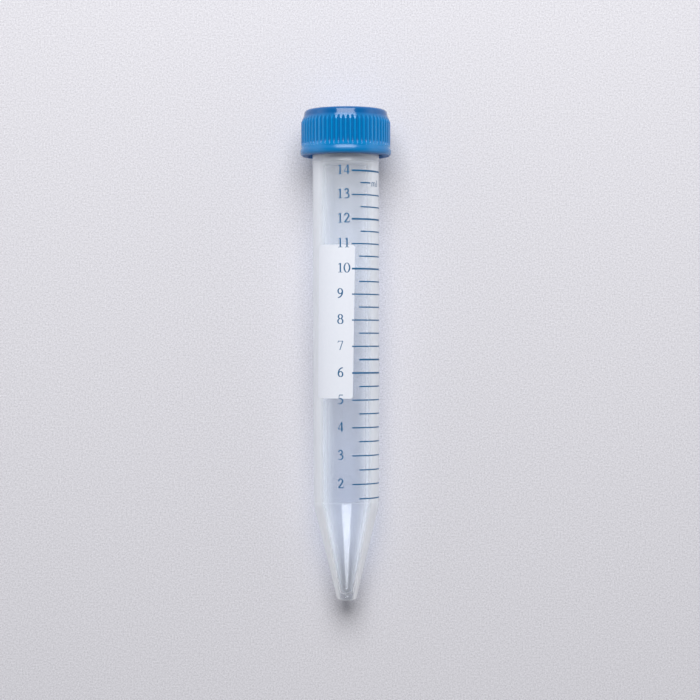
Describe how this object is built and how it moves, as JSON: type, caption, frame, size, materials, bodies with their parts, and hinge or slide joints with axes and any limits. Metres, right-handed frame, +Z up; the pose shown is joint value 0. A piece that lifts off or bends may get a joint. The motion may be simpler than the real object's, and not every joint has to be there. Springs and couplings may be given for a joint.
{
  "type": "conical centrifuge tube",
  "caption": "Clear plastic tube with a tapered pointed end, printed volume marks and a white writing patch, closed by a blue ribbed screw cap, lying on its side.",
  "frame": {"origin": "on the surface that the tube lies on, under the middle of its length and width", "axes": "+Y along the tube towards the cap, +Z up; the tube's own axis leans up from +Y by about 2.1 degrees, because it lies on the cap's flange and on its own shoulder"},
  "size_m": [0.0222, 0.1204, 0.0223],
  "materials": {
    "natural_plastic": "natural polypropylene, translucent and smooth",
    "blue_plastic": "blue polyethylene, satin",
    "blue_ink": "printed ink on the tube",
    "white_ink": "matt white writing patch printed on the tube"
  },
  "bodies": {
    "tube": {"tube": "natural_plastic"},
    "cap": {"cap": "blue_plastic"}
  },
  "joints": [
    {"name": "cap_lift", "type": "slide", "parent": "tube", "child": "cap", "axis": [0, 0.9993, 0.0367], "range_m": [0, 0.03]}
  ]
}
